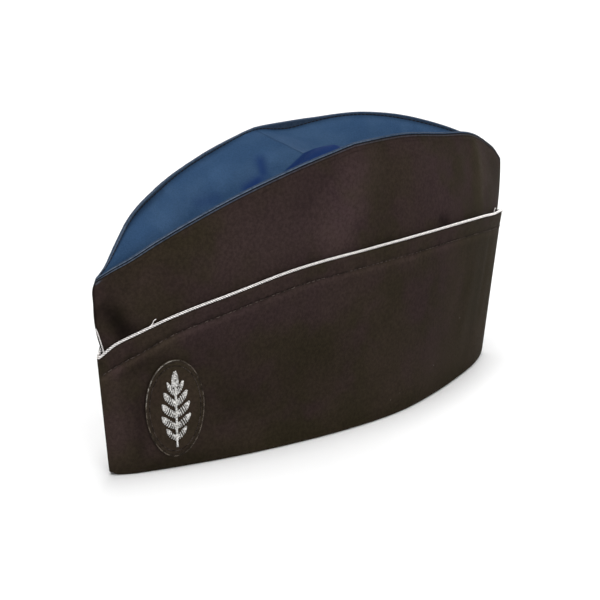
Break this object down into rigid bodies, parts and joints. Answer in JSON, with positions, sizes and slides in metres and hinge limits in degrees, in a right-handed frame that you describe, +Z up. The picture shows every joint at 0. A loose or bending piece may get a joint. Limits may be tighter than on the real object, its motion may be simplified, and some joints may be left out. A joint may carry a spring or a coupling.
{
  "type": "side cap",
  "caption": "Cloth side cap standing opened on its hem, with a blue top panel folded down between its ridges, a piped turn-up and an embroidered oval patch.",
  "frame": {"origin": "middle of the cap's outline on the surface that the hem stands on", "axes": "+X towards the back seam, -X towards the front, -Y towards the wearer's left and the badge, +Z up"},
  "size_m": [0.2974, 0.082, 0.1435],
  "materials": {
    "dark_cloth": "fine wool twill, dull, with a faint sheen along the folds",
    "blue_cloth": "smooth wool cloth, dull",
    "silver_cord": "twisted silver thread, silky",
    "patch_cloth": "dull felt-like cloth",
    "silver_thread": "metallic embroidery thread, silky"
  },
  "bodies": {
    "root": {"crown_side_left": "dark_cloth", "crown_side_right": "dark_cloth", "crown_top": "blue_cloth", "turn_up": "dark_cloth", "piping": "silver_cord", "badge_patch": "patch_cloth", "badge_emblem": "silver_thread"}
  },
  "joints": []
}
